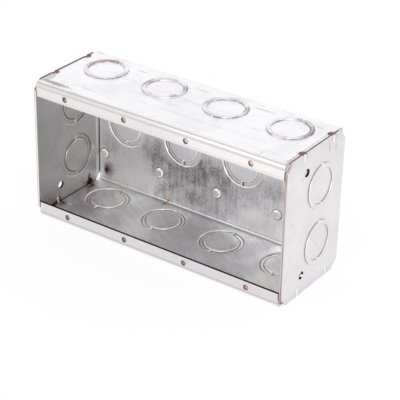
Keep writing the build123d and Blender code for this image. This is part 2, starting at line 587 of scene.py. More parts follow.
# Slope of each half ring's face, for the bottom, back and top knockout of each gang.
ring_leans = [
    [(0.03, -0.02), (0.02, 0.03), (0.10, 0.02)],
    [(-0.02, 0.03), (0.03, 0.00), (0.06, 0.05)],
    [(0.02, 0.02), (0.00, 0.03), (0.03, 0.06)],
    [(0.03, 0.00), (0.02, -0.02), (0.02, 0.12)],
]
# Turn of the ties in the bottom, the back and the top.
ring_turns = np.radians([-1.5, 1.0, 2.0])


class WALLBOX_OT_body_wrapper(bpy.types.Operator):
    """Make the folded sheet with its lips, knockouts, pry-outs and device holes"""

    bl_idname = "wallbox.body_wrapper"
    bl_label = "Body Wrapper"

    def execute(self, context):
        sheets = context.scene.sheet_sizes
        knockouts = context.scene.knockout_sizes
        fold = Fold(sheets, knockouts)
        blank = Blank(wrapper_outline(sheets, context.scene.plate_sizes, fold))
        edge = wrapper_high.x - sheets.edge_round - sheets.seam
        for steps in fold.bend_lines(sheets.bend_steps):
            for v in steps[1:-1]:
                blank.line([(u, v) for u in np.linspace(-edge, edge, bend_points)])
            for v in (steps[0], steps[-1]):
                lip_side = v < fold.lip + 1e-9 or v > fold.total - fold.lip - 1e-9
                reach = edge + sheets.seam - sheets.lip_end_gap if lip_side else edge
                blank.line([(u, v) for u in np.linspace(-reach, reach, bend_points)])
        row = fold.back - knockouts.wall_from_back
        middle = (fold.bottom + fold.top) / 2
        ring_rows = (fold.on_bottom(row), fold.on_back(middle), fold.on_top(row))
        pry_row = fold.on_back(fold.bottom + knockouts.pryout_from_bottom)
        hole_row = sheets.lip_height - sheets.screw_inset
        for x, leans in zip(gang_places(sheets), ring_leans):
            for v, turn, lean in zip(ring_rows, ring_turns, leans):
                blank.press(Knockout(knockouts, (x, v), turn, lean))
            blank.press(Pryout(knockouts, (x - knockouts.pryout_side_step, pry_row)))
            for v in (hole_row, fold.total - hole_row):
                blank.hole((x, v), sheets.screw_hole / 2 + sheets.edge_round)
        mesh = sheet_mesh("body_wrapper_sheet", blank, sheets.sheet, sheets.edge_round, fold.place)
        show(context, mesh, sheet_finishes, ["body_wrapper"])
        return {"FINISHED"}


# End plates

def plate_outline(plates, edge_round, low, high, uneven_cut):
    """Outline of an end plate with cut corners, held back by the rounding of its edges."""
    cut = plates.corner_cut - edge_round * (2 - math.sqrt(2))
    wide = cut + uneven_cut
    y0, y1 = low[0] + edge_round, high[0] - edge_round
    z0, z1 = low[1] + edge_round, high[1] - edge_round
    return [(y0 + cut, z0), (y1 - wide, z0), (y1, z0 + wide), (y1, z1 - cut),
            (y1 - cut, z1), (y0 + cut, z1), (y0, z1 - cut), (y0, z0 + cut)]


def end_plate(context, side, name, replaced):
    """One end plate. side is -1 for left and 1 for right."""
    sheets = context.scene.sheet_sizes
    knockouts = context.scene.knockout_sizes
    plates = context.scene.plate_sizes
    fold = Fold(sheets, knockouts)
    low, high = (fold.front, fold.bottom), (fold.back, fold.top)
    blank = Blank(plate_outline(plates, sheets.edge_round, low, high, plates.uneven_cut if side < 0 else 0.0))
    row = fold.back - knockouts.plate_from_back
    middle = (fold.bottom + fold.top) / 2
    for up in (-1, 1):
        centre = (row, middle + up * knockouts.plate_spacing / 2)
        blank.press(Knockout(knockouts, centre, math.radians(1.0 * side), (0.02, 0.03)))
        edge = fold.top if up > 0 else fold.bottom
        hole = (fold.front + plates.hole_from_front, edge - up * plates.hole_from_edge)
        blank.hole(hole, plates.hole / 2 + sheets.edge_round)
        for y in weld_places(plates):
            blank.press(Rib(plates, (y, edge), -up, sheets.edge_round))
    outer_face = side * (wrapper_high.x + sheets.sheet)

    def place(flat, depth):
        return np.stack([outer_face + side * depth, flat[:, 0], flat[:, 1]], axis=1)

    mesh = sheet_mesh(name, blank, sheets.sheet, sheets.edge_round, place)
    show(context, mesh, sheet_finishes, [replaced])


class WALLBOX_OT_end_plates(bpy.types.Operator):
    """Make the two end plates with their knockouts, holes and weld ribs"""

    bl_idname = "wallbox.end_plates"
    bl_label = "End Plates"

    def execute(self, context):
        end_plate(context, -1, "left_plate_sheet", "left_end_plate")
        end_plate(context, 1, "right_plate_sheet", "right_end_plate")
        return {"FINISHED"}


# Welds and threads

# Lumps of weld metal: place inwards, along and up from a joint, and half sizes, in millimetres.
notch_lumps = [((1.0, lobe * 1.55, 0.85), (1.0, 0.85, 0.82)) for lobe in (-1, 1)]
rib_lump = ((0.30, -1.7, 4.3), (0.60, 0.60, 1.4))
# Roughness of the lumps: its grain, how far it changes from lump to lump, and its strength.
lump_grain = 1.7
lump_change = 900
lump_strength = 0.22
# Thread: mesh steps in a turn, and steps over which its ends fade out.
turn_steps = 36
fade_steps = 8
# Corners of the thread's section in shares of the pitch, and its root and crest from the bore.
thread_corners = (-0.42, -0.07, 0.07, 0.42)
thread_root = 0.02 * MM
thread_crest = 0.42 * MM


class WALLBOX_OT_weld_beads(bpy.types.Operator):
    """Make the lumpy weld metal in the notches, and the run beside each front rib"""

    bl_idname = "wallbox.weld_beads"
    bl_label = "Weld Beads"

    def execute(self, context):
        plates = context.scene.plate_sizes
        fold = Fold(context.scene.sheet_sizes, context.scene.knockout_sizes)
        levels = ((fold.bottom, 1), (fold.top, -1))
        work = bmesh.new()
        for side, (z, up), y in product((-1, 1), levels, weld_places(plates)):
            lumps = notch_lumps + [rib_lump] if y < 0 else notch_lumps
            for (inward, along, rise), size in lumps:
                x = side * (wrapper_high.x - inward * MM)
                spot = Vector((x, y + along * MM, z + up * rise * MM))
                scale = Matrix.Diagonal(size) * MM
                for v in bmesh.ops.create_icosphere(work, subdivisions=4, radius=1.0)["verts"]:
                    rough = noise.fractal(v.co * lump_grain + spot * lump_change, 1.0, 2.0, 4)
                    v.co = spot + scale @ (v.co * (1.0 + lump_strength * rough))
        mesh = bpy.data.meshes.new("weld_beads")
        work.to_mesh(mesh)
        work.free()
        mesh.shade_smooth()
        show(context, mesh, ["weld_metal"])
        return {"FINISHED"}


class WALLBOX_OT_hole_threads(bpy.types.Operator):
    """Make the thread in each tapped device hole"""

    bl_idname = "wallbox.hole_threads"
    bl_label = "Hole Threads"

    def execute(self, context):
        sheets = context.scene.sheet_sizes
        fold = Fold(sheets, context.scene.knockout_sizes)
        major = sheets.screw_hole / 2 + thread_root
        minor = sheets.screw_hole / 2 - thread_crest
        pitch = sheets.thread_pitch
        turns = (sheets.sheet - 0.9 * pitch) / pitch
        steps = int(turn_steps * turns) + 1
        heights = (fold.bottom + sheets.screw_inset, fold.top - sheets.screw_inset)
        points = []
        faces = []
        for x, z in product(gang_places(sheets), heights):
            first = len(points)
            for step in range(steps):
                angle = step / turn_steps * 2 * math.pi
                fade = min(1.0, step / fade_steps, (steps - 1 - step) / fade_steps)
                depth = fold.front + 0.45 * pitch + step / turn_steps * pitch
                crest = major + (minor - major) * fade
                across, up = math.cos(angle), math.sin(angle)
                for radius, y in zip((major, crest, crest, major), thread_corners):
                    points.append((x + radius * across, depth + y * pitch, z + radius * up))
            for here in range(first, len(points) - 4, 4):
                for k, after in ((0, 1), (1, 2), (2, 3), (3, 0)):
                    faces.append((here + k, here + after, here + 4 + after, here + 4 + k))
            faces.append(tuple(first + k for k in (3, 2, 1, 0)))
            faces.append(tuple(first + 4 * (steps - 1) + k for k in range(4)))
        mesh = bpy.data.meshes.new("device_hole_threads")
        mesh.from_pydata(points, [], faces)
        tidy_mesh(mesh)
        show(context, mesh, ["thread_steel"])
        return {"FINISHED"}


# Node trees

class Tree:
    """One node tree, with short calls that add a node and give back its output."""

    def __init__(self, tree):
        self.tree = tree

    def feed(self, socket, value):
        """Links an output to the socket, or sets a plain value on it."""
        if isinstance(value, bpy.types.NodeSocket):
            self.tree.links.new(value, socket)
        elif socket.type == "RGBA" and len(value) == 3:
            socket.default_value = (*value, 1.0)
        else:
            socket.default_value = value

    def node(self, kind, inputs=None, **settings):
        """A node. inputs are values by the name or the number of their socket."""
        made = self.tree.nodes.new(kind)
        for name, value in settings.items():
            setattr(made, name, value)
        for name, value in (inputs or {}).items():
            self.feed(made.inputs[name], value)
        return made

    def math(self, operation, *values, clamp=False):
        inputs = dict(enumerate(values))
        return self.node("ShaderNodeMath", inputs, operation=operation, use_clamp=clamp).outputs[0]

    def times(self, *values):
        return reduce(partial(self.math, "MULTIPLY"), values)

    def plus(self, *values):
        return reduce(partial(self.math, "ADD"), values)

    def most(self, *values):
        return reduce(partial(self.math, "MAXIMUM"), values)

    def minus(self, value, other):
        return self.math("SUBTRACT", value, other)

    def rest(self, value):
        """What is left of 1."""
        return self.minus(1.0, value)

    def size(self, value):
        return self.math("ABSOLUTE", value)

    def off(self, value, place):
        """Distance from a place."""
        return self.size(self.minus(value, place))

    def mix(self, share, first, second):
        """The first colour where share is 0 and the second where it is 1."""
        return self.node("ShaderNodeMix", {0: share, 6: first, 7: second}, data_type="RGBA").outputs[2]

    def choose(self, share, first, second):
        """The first value where share is 0 and the second where it is 1."""
        return self.node("ShaderNodeMix", {0: share, 2: first, 3: second}, data_type="FLOAT").outputs[0]

    def between(self, value, low, high, to_low, to_high):
        """Eases from to_low at low to to_high at high."""
        inputs = {"Value": value, "From Min": low, "From Max": high, "To Min": to_low, "To Max": to_high}
        return self.node("ShaderNodeMapRange", inputs, interpolation_type="SMOOTHSTEP").outputs[0]

    def rise(self, value, low, high, full=1.0):
        return self.between(value, low, high, 0.0, full)

    def fade(self, value, low, high, full=1.0):
        return self.between(value, low, high, full, 0.0)

    def noise(self, vector, scale, detail, roughness, distortion=0.0):
        inputs = {"Vector": vector, "Scale": scale, "Detail": detail, "Roughness": roughness,
                  "Distortion": distortion}
        return self.node("ShaderNodeTexNoise", inputs).outputs["Fac"]

    def axes(self, vector):
        return self.node("ShaderNodeSeparateXYZ", {"Vector": vector}).outputs


class Effect(Tree):
    """A shader group that finishes share: it turns coordinates in millimetres into masks."""

    def __init__(self, name, masks, vectors=("Vector",), **numbers):
        super().__init__(bpy.data.node_groups.new(name, "ShaderNodeTree"))
        new_socket = self.tree.interface.new_socket
        for label in vectors:
            new_socket(label, in_out="INPUT", socket_type="NodeSocketVector")
        for label, number in numbers.items():
            new_socket(label, in_out="INPUT", socket_type="NodeSocketFloat").default_value = number
        for label in masks.split():
            new_socket(label, in_out="OUTPUT", socket_type="NodeSocketFloat")
        self.given = self.tree.nodes.new("NodeGroupInput").outputs
        self.made = self.tree.nodes.new("NodeGroupOutput").inputs
        self.spot = self.given["Vector"]

    def give(self, **masks):
        for label, mask in masks.items():
            self.feed(self.made[label], mask)


def bloom_effect():
    """Cloudy zinc bloom with fine mottling in it."""
    t = Effect("Zinc bloom", "Mask", Scale=0.05, Amount=0.5)
    cloud = t.noise(t.spot, t.given["Scale"], 5.0, 0.6, 0.6)
    fine = t.noise(t.spot, t.times(t.given["Scale"], 14.0), 3.0, 0.6)
    both = t.plus(t.times(cloud, 0.75), t.times(fine, 0.25))
    t.give(Mask=t.times(t.rise(both, 0.40, 0.62), t.given["Amount"]))


def streak_effect():
    """Fine parallel streaks. The vector comes already stretched along them."""
    t = Effect("Rolling streaks", "Mask", Scale=1.0, Sharpness=0.1)
    lines = t.noise(t.spot, t.given["Scale"], 4.0, 0.65)
    middle = 0.53
    low = t.minus(middle, t.given["Sharpness"])
    high = t.plus(middle, t.given["Sharpness"])
    t.give(Mask=t.rise(lines, low, high))


def scratch_effect():
    """Sparse long scratches. The vector comes already stretched along them."""
    t = Effect("Handling scratches", "Mask", Width=0.02, Amount=0.5)
    line = t.fade(t.off(t.noise(t.spot, 1.0, 2.0, 0.5), 0.5), 0.0, t.given["Width"])
    here = t.rise(t.noise(t.spot, 0.45, 2.0, 0.55), 0.50, 0.62)
    t.give(Mask=t.times(line, here, t.given["Amount"]))


def speck_effect():
    """Scattered round specks."""
    t = Effect("Specks", "Mask", Scale=0.1, Size=0.1, Share=0.1)
    cells = t.node("ShaderNodeTexVoronoi", {"Vector": t.spot, "Scale": t.given["Scale"]}).outputs
    chosen = t.math("LESS_THAN", t.axes(cells["Color"])["X"], t.given["Share"])
    speck = t.fade(cells["Distance"], t.times(t.given["Size"], 0.4), t.given["Size"])
    t.give(Mask=t.times(speck, chosen))


def mark_effect():
    """One mark with a ragged rim, by its place and its half sizes."""
    t = Effect("Mark", "Mask", ("Vector", "Place", "Size"), Ragged=0.4, Grain=0.5, Core=0.5)
    apart = t.node("ShaderNodeVectorMath", {0: t.spot, 1: t.given["Place"]}, operation="SUBTRACT")
    share = t.node("ShaderNodeVectorMath", {0: apart.outputs[0], 1: t.given["Size"]}, operation="DIVIDE")
    away = t.node("ShaderNodeVectorMath", {0: share.outputs[0]}, operation="LENGTH")
    wander = t.minus(t.noise(t.spot, t.given["Grain"], 4.0, 0.65), 0.5)
    rim = t.plus(away.outputs["Value"], t.times(wander, 2.0, t.given["Ragged"]))
    t.give(Mask=t.fade(rim, t.given["Core"], 1.0))


def ring_effect(context):
    """Parts of the knockouts and the pry-outs, and the walls of the round holes."""
    sheets = context.scene.sheet_sizes
    sizes = context.scene.knockout_sizes
    plates = context.scene.plate_sizes
    fold = Fold(sheets, sizes)
    t = Effect("Knockout rings", "Band Edges Rims Feet Disc Slugs Walls Holes")
    x, y, z = t.axes(t.spot)
    pitch = sheets.gang_pitch / MM
    half_tall = (fold.top - fold.bottom) / 2

    def past(value, place):
        return t.minus(value, place / MM)

    def apart(a, b):
        return t.math("SQRT", t.plus(t.times(a, a), t.times(b, b)))

    def from_gang(value):
        return t.minus(t.math("WRAP", value, pitch, 0.0), pitch / 2)

    # Distance from the middle of the nearest knockout
    along = from_gang(x)
    up = t.off(z, (fold.bottom + fold.top) / 2 / MM)
    on_level = t.math("GREATER_THAN", up, half_tall / MM - 4.0)
    on_plate = t.math("GREATER_THAN", t.size(x), plate_face - 0.05)
    from_row = past(y, fold.back - sizes.plate_from_back)
    level = apart(along, past(y, fold.back - sizes.wall_from_back))
    plate = apart(from_row, past(up, sizes.plate_spacing / 2))
    radius = t.choose(on_plate, t.choose(on_level, apart(along, up), level), plate)
    inner = sizes.small / 2 / MM
    half = (sizes.large - sizes.small) / 4 / MM
    middle = inner + half
    past_wall = t.minus(t.off(radius, middle), half)
    band = t.fade(past_wall, -0.15, 0.15)
    # Rims round the walls, and the ties: the inner finish lightens them as burnished metal and painted
    # highlight
    rim = t.times(t.fade(past_wall, 0.5, 1.0), t.rise(past_wall, -0.12, 0.02))
    to_tie = t.choose(on_plate, along, from_row)
    tie = t.times(t.fade(t.off(to_tie, -0.2), 0.55, 0.75), band)
    # Brown lines at the foot of the walls and beside the ties: painted shade in the cracks over brown steel,
    # stronger on the left
    shaded = t.choose(on_level, t.between(along, -5.0, 4.0, 1.0, 0.25), 1.0)
    shaded = t.choose(on_plate, shaded, t.between(radius, middle - 0.2, middle + 0.2, 1.0, 0.3))
    foot = t.times(t.rise(past_wall, -0.85, -0.50), t.fade(past_wall, -0.02, 0.06), shaded)
    tie_foot = t.times(t.rise(to_tie, 0.55, 0.70), t.fade(to_tie, 1.35, 1.65), band,
                       t.choose(on_level, 1.0, 0.65))
    back_half = t.times(t.math("GREATER_THAN", radius, middle), t.rise(to_tie, 0.5, 4.0, 0.8), on_plate)
    stain = t.times(t.rise(past_wall, -0.5, -0.3), t.fade(past_wall, 0.25, 0.45), back_half)
    # Pry-outs: a painted highlight on their shoulder, strongest on the right side, and painted shade at their
    # foot
    slug_side = from_gang(t.plus(x, sizes.pryout_side_step / MM))
    slug_up = past(z, fold.bottom + sizes.pryout_from_bottom)
    past_slug = past(apart(slug_side, slug_up), sizes.pryout / 2)
    on_back = t.math("SUBTRACT", t.math("GREATER_THAN", y, fold.back / MM - 4.0), on_plate, clamp=True)
    slug = t.times(t.rise(past_slug, -1.7, -1.2), t.fade(past_slug, -0.12, 0.0), on_back)
    slug_foot = t.times(t.rise(past_slug, -0.22, -0.12), t.fade(past_slug, 0.3, 0.55), on_back)
    foot_shade = t.most(foot, tie_foot, stain, slug_foot)
    # Round holes
    device = apart(along, past(up, half_tall - sheets.screw_inset))
    device = t.fade(past(device, sheets.screw_hole / 2), 0.03, 0.15)
    plain = apart(past(y, fold.front + plates.hole_from_front), past(up, half_tall - plates.hole_from_edge))
    plain = t.fade(past(plain, plates.hole / 2), 0.04, 0.16)
    t.give(Band=band, Edges=t.times(t.rise(past_wall, -1.1, -0.5), band), Rims=t.most(rim, tie),
           Feet=t.math("SUBTRACT", foot_shade, tie, clamp=True), Disc=t.fade(radius, inner - 0.3, inner),
           Slugs=t.times(slug, t.between(slug_side, -2.0, 1.0, 0.15, 1.0)),
           Walls=t.times(t.fade(t.size(past_slug), 0.35, 0.5), on_back),
           Holes=t.choose(on_plate, device, plain))


def fold_effect(context):
    """Lines where each flat meets a bend, which the bending tools left outside and which are painted shade
    inside, a crease along the bend itself, and the band and painted highlight of a painted reflection on the
    bend.
    """
    fold = Fold(context.scene.sheet_sizes, context.scene.knockout_sizes)
    t = Effect("Fold lines", "Flats Lips Crease Nose Shine Bends", Width=0.3)
    y, z = t.axes(t.spot)[1:]

    def past_flat(value, low, high):
        return t.minus(t.off(value, (low + high) / 2 / MM), ((high - low) / 2 - fold.radius) / MM)

    def line(value):
        return t.fade(t.size(value), 0.0, t.given["Width"])

    past_deep = past_flat(y, fold.front, fold.back)
    past_tall = past_flat(z, fold.bottom, fold.top)
    on_bend = t.times(t.rise(past_deep, 0.0, 0.4), t.rise(past_tall, 0.0, 0.4))
    past_crease = t.minus(past_deep, t.times(past_tall, 0.75))
    t.give(Flats=t.times(line(past_deep), t.math("GREATER_THAN", past_tall, 1.0)),
           Lips=t.times(line(past_tall), t.math("GREATER_THAN", past_deep, 1.0)),
           Crease=t.times(line(past_crease), on_bend), Nose=t.times(on_bend, t.rise(past_crease, 0.2, 0.9)),
           Shine=t.fade(past_crease, 1.2, 2.2), Bends=on_bend)


def weld_effect(context):
    """Burnt scale and heat tint round the weld joints, and the pressed ribs."""
    fold = Fold(context.scene.sheet_sizes, context.scene.knockout_sizes)
    t = Effect("Weld heat", "Scale Tint Ribs", Reach=1.0)
    x, y, z = t.axes(t.spot)
    aside = t.minus(t.size(x), plate_face)
    along = t.math("MINIMUM", *(t.off(y, place / MM) for place in weld_places(context.scene.plate_sizes)))
    up = t.math("MINIMUM", t.off(z, fold.bottom / MM), t.off(z, fold.top / MM))
    square = t.plus(t.times(aside, aside), t.times(along, along), t.times(up, up, 0.45))
    ragged = t.minus(t.times(t.noise(t.spot, 0.55, 4.0, 0.6), 3.2), 1.6)
    away = t.math("DIVIDE", t.plus(t.math("SQRT", square), ragged), t.given["Reach"])
    rib = t.times(t.fade(along, 0.7, 1.3), t.fade(up, 4.6, 5.6), t.math("GREATER_THAN", aside, -1.0))
    t.give(Scale=t.fade(away, 2.4, 3.5), Tint=t.fade(away, 2.6, 5.4), Ribs=rib)


class WALLBOX_OT_finishes(bpy.types.Operator):
    """Make the effects that the finishes share"""

    bl_idname = "wallbox.finishes"
    bl_label = "Finishes"

    def execute(self, context):
        for effect in (bloom_effect, streak_effect, scratch_effect, speck_effect, mark_effect):
            effect()
        for effect in (ring_effect, fold_effect, weld_effect):
            effect(context)
        return {"FINISHED"}


# Marks: place and half sizes in millimetres, colour, strength and raggedness.
outside_marks = [
    ((-81.0, -26.8, 96.0), (15.0, 2.5, 3.0), "scuff_and_shade", 0.72, 0.9),
    ((-90.0, -22.0, 96.0), (3.8, 8.0, 3.0), "scuff_and_shade", 0.42, 0.9),
    ((-49.0, 20.8, 96.0), (6.0, 0.8, 3.0), "scuff_and_shade", 0.50, 0.9),
    ((-3.5, 20.8, 96.0), (7.5, 0.7, 3.0), "scuff_and_shade", 0.40, 0.9),
    ((44.5, 20.8, 96.0), (9.5, 0.9, 3.0), "scuff_and_shade", 0.45, 0.9),
    ((82.0, 20.8, 96.0), (3.0, 0.7, 3.0), "scuff_and_shade", 0.45, 0.9),
    ((73.0, -27.0, 96.0), (0.5, 6.0, 3.0), "scuff_and_shade", 0.30, 0.4),
    ((90.6, -3.0, 96.0), (0.7, 24.0, 3.0), "scuff_and_shade", 0.40, 0.8),
    ((90.8, -23.0, 96.0), (1.1, 8.0, 3.0), "scuff_and_shade", 0.45, 0.8),
    ((10.0, -15.2, 96.0), (80.0, 0.45, 3.0), "scuff_and_shade", 0.22, 0.8),
    ((-10.0, -7.2, 96.0), (85.0, 0.40, 3.0), "scuff_and_shade", 0.16, 0.8),
    ((20.0, 3.8, 96.0), (75.0, 0.45, 3.0), "scuff_and_shade", 0.20, 0.8),
    ((94.0, 13.6, 90.0), (2.0, 0.9, 4.0), "scuff_and_shade", 0.45, 0.9),
    ((94.0, 20.8, 88.0), (2.0, 0.8, 3.5), "scuff_and_shade", 0.35, 0.9),
    ((94.0, -15.5, 80.0), (2.0, 0.8, 2.5), "scuff_and_shade", 0.30, 0.9),
]
# Marks that lie only on the raised rings of the top: rub marks and painted shade where the tilted rings
# mirror dark surroundings.
ring_scuff_and_shade_marks = [
    ((79.5, 11.0, 97.0), (6.0, 11.0, 2.0), "scuff_and_shade", 0.95, 0.5),
    ((82.0, 9.0, 97.0), (3.5, 8.0, 2.0), "edge_brown_and_shade", 0.55, 0.5),
    ((71.0, 21.5, 97.0), (8.0, 3.5, 2.0), "scuff_and_shade", 0.55, 0.6),
    ((-79.5, 11.5, 97.0), (5.5, 10.5, 2.0), "scuff_and_shade", 0.80, 0.6),
    ((-75.0, 20.5, 97.0), (11.0, 6.0, 2.0), "edge_brown_and_shade", 0.90, 0.4),
    ((-37.0, 10.0, 97.0), (2.8, 9.5, 2.0), "scuff_and_shade", 0.85, 0.6),
    ((-36.5, 4.0, 97.0), (2.5, 5.0, 2.0), "edge_brown_and_shade", 0.45, 0.5),
    ((-11.0, 16.0, 97.0), (4.0, 6.0, 2.0), "scuff_and_shade", 0.85, 0.6),
    ((-11.5, 2.5, 97.0), (2.5, 4.0, 2.0), "scuff_and_shade", 0.70, 0.6),
    ((35.0, 14.0, 97.0), (3.5, 5.5, 2.0), "edge_brown_and_shade", 0.70, 0.6),
    ((10.0, 9.0, 97.0), (2.0, 8.0, 2.0), "scuff_and_shade", 0.55, 0.6),
]
inside_marks = [
    # Lighter patches of the back; the one at the right end is painted light.
    ((-64.0, 30.0, 16.0), (24.0, 3.0, 22.0), "inner_zinc_and_light", 0.45, 0.8),
    ((-72.0, 30.0, 48.0), (22.0, 3.0, 24.0), "inner_zinc_and_light", 0.45, 0.6),
    ((78.0, 30.0, 28.0), (20.0, 3.0, 32.0), "inner_zinc_and_light", 0.60, 0.6),
    ((-84.5, 29.7, 12.0), (6.0, 4.0, 6.5), "soot_and_shade", 0.45, 0.9),
    ((-85.5, 29.7, 11.2), (3.6, 4.0, 4.2), "edge_brown_and_shade", 0.60, 0.9),
    ((-86.4, 29.7, 10.2), (2.0, 4.0, 3.2), "edge_rust", 0.90, 0.9),
    ((-16.5, 30.0, 20.5), (7.0, 3.0, 3.0), "inner_zinc_and_light", 0.30, 0.8),
    ((27.0, 30.0, 12.0), (10.0, 3.0, 9.0), "inner_zinc_and_light", 0.35, 0.8),
    # Painted light and shade on the left plate: lighter high up, darker lower down.
    ((-92.0, -14.0, 78.0), (2.0, 26.0, 20.0), "inner_zinc_and_light", 0.14, 0.5),
    ((-92.0, -8.0, 36.0), (2.0, 26.0, 20.0), "soot_and_shade", 0.10, 0.5),
    ((-91.8, 18.3, 5.5), (2.0, 2.2, 6.0), "scale", 0.95, 0.8),
    ((-91.8, 14.0, 7.0), (1.5, 5.0, 5.0), "straw", 0.45, 0.8),
    ((-88.5, 16.5, 2.4), (4.0, 4.0, 2.0), "straw", 0.60, 0.8),
    ((-84.5, 21.0, 2.4), (4.0, 2.4, 2.0), "burnished_and_highlight", 0.85, 0.6),
    ((-89.0, -14.0, 2.4), (3.5, 4.0, 2.0), "edge_rust", 0.40, 0.8),
    ((-84.5, -11.5, 2.4), (2.4, 1.5, 2.0), "burnished_and_highlight", 0.70, 0.6),
    # Painted shade low at the front of the left plate.
    ((-91.8, -24.0, 8.0), (1.5, 16.0, 9.0), "soot_and_shade", 0.35, 0.8),
    ((-91.6, -12.8, 4.4), (2.0, 1.7, 2.4), "scale", 0.95, 0.6),
    ((-91.6, -16.2, 3.4), (2.0, 1.5, 1.3), "scale", 0.95, 0.6),
    ((-91.8, -19.0, 2.9), (2.0, 3.0, 1.4), "scale", 0.95, 0.7),
    ((-90.2, -13.0, 2.4), (2.4, 2.2, 1.2), "scale", 0.85, 0.8),
    ((-90.2, 17.6, 2.4), (2.6, 2.6, 1.2), "scale", 0.95, 0.8),
    ((-34.4, 28.8, 3.4), (1.3, 3.4, 2.4), "rust", 0.95, 0.4),
    ((-35.6, 26.6, 2.4), (1.0, 1.4, 1.5), "edge_rust", 0.75, 0.4),
    ((-92.0, 11.3, 9.9), (1.5, 0.9, 0.9), "rust", 0.95, 0.5),
    ((-73.0, 22.8, 2.4), (0.9, 0.8, 1.5), "rust", 0.50, 0.5),
    ((-92.0, 18.9, 4.0), (2.2, 4.2, 3.0), "scale", 1.00, 0.4),
    ((-90.6, 18.4, 2.4), (2.8, 3.6, 1.4), "scale", 1.00, 0.4),
]
# Dark areas of the film on the inner back, then painted shade on the bottom, darkest under the lower lip and
# at the left end: place, half sizes and strength.
film_areas = [
    ((-14.0, 30.0, 28.0), (54.0, 3.0, 36.0), 0.46),
    ((-19.0, 30.0, 31.0), (24.0, 3.0, 15.0), 0.90),
    ((-45.0, 30.0, 36.0), (14.0, 3.0, 15.0), 0.60),
    ((-33.0, 30.0, 21.0), (11.0, 3.0, 15.0), 0.55),
    ((3.0, 30.0, 36.0), (20.0, 3.0, 14.0), 0.75),
    ((0.0, 30.0, 9.0), (16.0, 3.0, 9.0), 0.35),
    ((-13.0, 30.0, 13.0), (11.0, 3.0, 6.0), 0.45),
    ((44.0, 30.0, 38.0), (16.0, 3.0, 11.0), 0.50),
    ((-40.0, 30.0, 9.0), (18.0, 3.0, 10.0), 0.55),
    ((28.0, 30.0, 29.0), (30.0, 3.0, 15.0), 0.40),
    ((-80.0, 30.0, 31.0), (26.0, 3.0, 12.0), 0.24),
    ((-85.0, 30.0, 12.0), (12.0, 3.0, 14.0), 0.15),
]
floor_shade_areas = [
    ((2.0, 8.0, 2.4), (44.0, 38.0, 2.0), 0.33),
    ((-10.0, 28.0, 2.4), (100.0, 5.0, 2.0), 0.25),
    ((-94.0, -2.0, 2.4), (26.0, 38.0, 2.0), 0.60),
    ((37.0, 12.0, 2.4), (16.0, 14.0, 2.0), 0.38),
    ((-74.0, -10.0, 2.4), (18.0, 16.0, 4.0), 0.50),
    ((-22.0, -26.0, 2.4), (75.0, 9.0, 4.0), 0.45),
    ((46.0, 8.0, 2.4), (13.0, 24.0, 2.0), 0.36),
    ((54.0, -20.0, 2.4), (30.0, 5.0, 2.0), 0.20),
]


# Finishes

class Finish(Tree):
    """A material in the making: its shader, its coordinates in millimetres and its colour so far."""

    def __init__(self, name, colours):
        material = bpy.data.materials.new(name)
        material.use_nodes = True
        super().__init__(material.node_tree)
        self.tree.nodes.clear()
        self.shader = self.node("ShaderNodeBsdfPrincipled", {"Specular IOR Level": 0.0})
        self.node("ShaderNodeOutputMaterial", {"Surface": self.shader.outputs[0]})
        place = self.node("ShaderNodeTexCoord").outputs["Object"]
        scaled = self.node("ShaderNodeVectorMath", {0: place, "Scale": 1 / MM}, operation="SCALE")
        self.spot = scaled.outputs[0]
        self.colours = colours
        self.tone = None

    def colour(self, name):
        return tuple(getattr(self.colours, name))

    def blend(self, share, first, second):
        """Starts the colour as a blend of two."""
        self.tone = self.mix(share, self.colour(first), self.colour(second))

    def paint(self, name, *shares):
        """Lays a colour over the colour so far, as thick as the product of the shares."""
        self.tone = self.mix(self.times(*shares), self.tone, self.colour(name))

    def noise_here(self, scale, detail, roughness):
        return self.noise(self.spot, scale, detail, roughness)

    def effect(self, name, scale=None, turn=(0.0, 0.0, 0.0), **inputs):
        """Masks of a shared effect, whose coordinates are turned and then scaled along each axis."""
        spot = self.spot
        if scale:
            turned = self.node("ShaderNodeMapping", {"Vector": spot, "Rotation": turn}).outputs[0]
            spot = self.node("ShaderNodeMapping", {"Vector": turned, "Scale": scale}).outputs[0]
        made = self.tree.nodes.new("ShaderNodeGroup")
        made.node_tree = bpy.data.node_groups[name]
        for label, value in {"Vector": spot, **inputs}.items():
            self.feed(made.inputs[label], value)
        return made.outputs

    def mask(self, name, *stretch, **inputs):
        return self.effect(name, *stretch, **inputs)["Mask"]

    def paint_marks(self, marks):
        """Lays single marks over the colour, and gives back how far they are burnt or rusty."""
        oxide = 0.0
        for place, size, name, strength, ragged in marks:
            share = self.times(self.mask("Mark", Place=place, Size=size, Ragged=ragged), strength)
            self.paint(name, share)
            if name in ("scale", "edge_rust", "rust"):
                oxide = self.most(oxide, share)
        return oxide

    def close(self, metallic, roughness, height, strength, distance):
        """Feeds the shader. The distance of the bump is in millimetres."""
        raised = {"Height": height, "Strength": strength, "Distance": distance * MM}
        normal = self.node("ShaderNodeBump", raised).outputs[0]
        inputs = {"Base Color": self.tone, "Metallic": metallic, "Roughness": roughness, "Normal": normal}
        for name, value in inputs.items():
            self.feed(self.shader.inputs[name], value)


